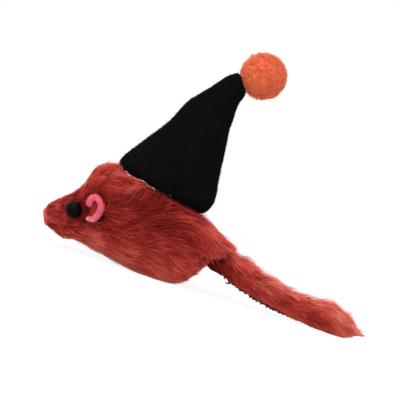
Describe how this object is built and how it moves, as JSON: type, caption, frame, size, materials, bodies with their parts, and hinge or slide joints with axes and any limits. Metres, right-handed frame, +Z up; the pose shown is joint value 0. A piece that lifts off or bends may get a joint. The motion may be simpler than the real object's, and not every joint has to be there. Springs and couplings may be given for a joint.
{
  "type": "furry mouse cat toy",
  "caption": "Small fur mouse for cats with a rattling core, bead eyes, curled leather ears, a felt cone hat with a pompom, and a limp fur strip for a tail that lifts and swings.",
  "frame": {"origin": "on the surface that the mouse stands on, under the middle of the whole toy", "axes": "+X from the nose towards the tail, +Y to the mouse's right side, +Z up"},
  "size_m": [0.1102, 0.028, 0.0804],
  "materials": {
    "red_fur": "dyed fur, combed towards the tail",
    "core_plastic": "moulded, plain",
    "bead_plastic": "smooth",
    "eye_black": "polished",
    "pink_leather": "soft, thin and curled",
    "black_felt": "felt with a short nap",
    "orange_wool": "dense clipped yarn",
    "brown_thread": "sewing thread"
  },
  "bodies": {
    "mouse": {"body_pelt": "red_fur", "core_shell_left": "core_plastic", "core_shell_right": "core_plastic", "eye_left": "eye_black", "eye_right": "eye_black", "ear_left": "pink_leather", "ear_right": "pink_leather", "hat_cone": "black_felt", "hat_pompom": "orange_wool"},
    "tail_tack": {"tail_tack_thread": "brown_thread"},
    "tail": {"tail_strip": "red_fur"},
    "bead_1": {"rattle_bead_1": "bead_plastic"},
    "bead_2": {"rattle_bead_2": "bead_plastic"},
    "bead_3": {"rattle_bead_3": "bead_plastic"}
  },
  "joints": [
    {"name": "tail_lift", "type": "hinge", "parent": "mouse", "child": "tail_tack", "pos_m": [0.0038, 0, 0.01058], "axis": [0, -1, 0], "range_deg": [-60, 50]},
    {"name": "tail_swing", "type": "hinge", "parent": "tail_tack", "child": "tail", "pos_m": [0.0038, 0, 0.01058], "axis": [0, 0, 1], "range_deg": [-60, 60]},
    {"name": "bead_1_roll", "type": "slide", "parent": "mouse", "child": "bead_1", "axis": [1, 0, 0], "range_m": [-0.006, 0.006]},
    {"name": "bead_2_roll", "type": "slide", "parent": "mouse", "child": "bead_2", "axis": [1, 0, 0], "range_m": [-0.006, 0.006]},
    {"name": "bead_3_roll", "type": "slide", "parent": "mouse", "child": "bead_3", "axis": [1, 0, 0], "range_m": [-0.006, 0.006]}
  ]
}
